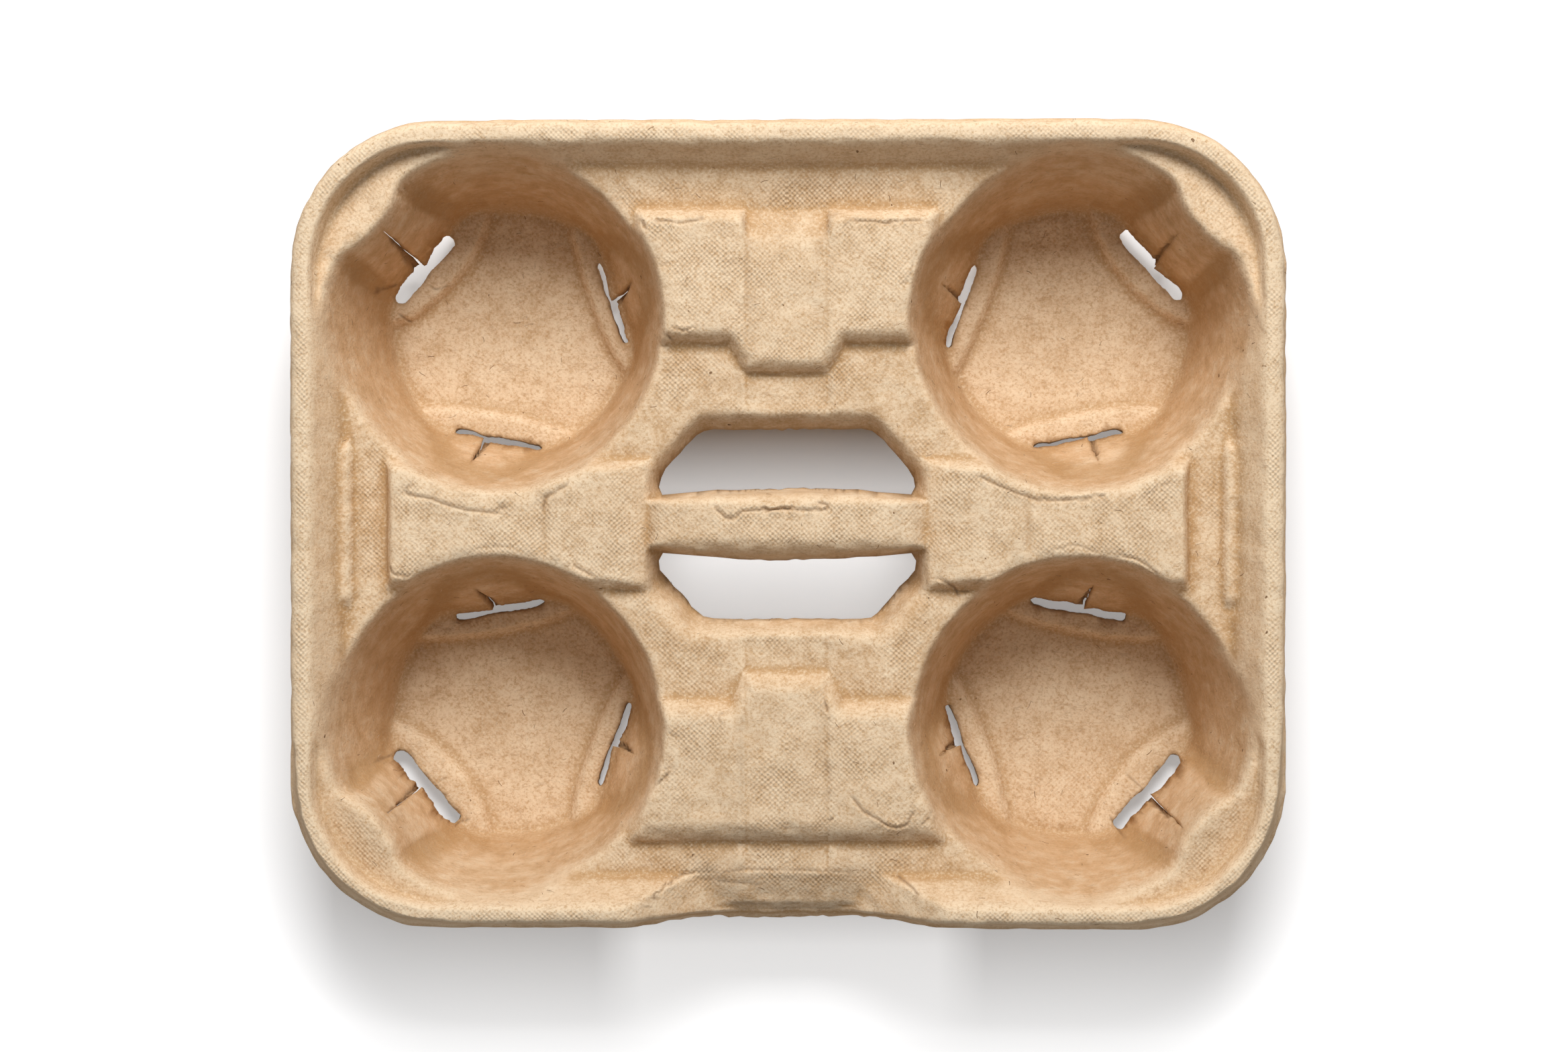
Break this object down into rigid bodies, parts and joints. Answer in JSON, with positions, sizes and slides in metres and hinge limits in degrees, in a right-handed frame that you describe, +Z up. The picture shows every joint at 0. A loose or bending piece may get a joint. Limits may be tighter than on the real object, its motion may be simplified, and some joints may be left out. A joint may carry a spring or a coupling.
{
  "type": "moulded pulp cup carrier tray",
  "caption": "Moulded pulp carrier tray with round cup pockets, expansion slits, raised blocks and a carrying bar between hand holes",
  "frame": {"origin": "middle of the tray's length and width, on the surface it stands on", "axes": "+X along the long side, +Y away from the notched front rim, +Z up"},
  "size_m": [0.217, 0.1765, 0.045],
  "materials": {
    "moulded_pulp": "matt moulded kraft pulp with a forming-screen imprint"
  },
  "bodies": {
    "root": {"pulp_tray": "moulded_pulp"}
  },
  "joints": []
}
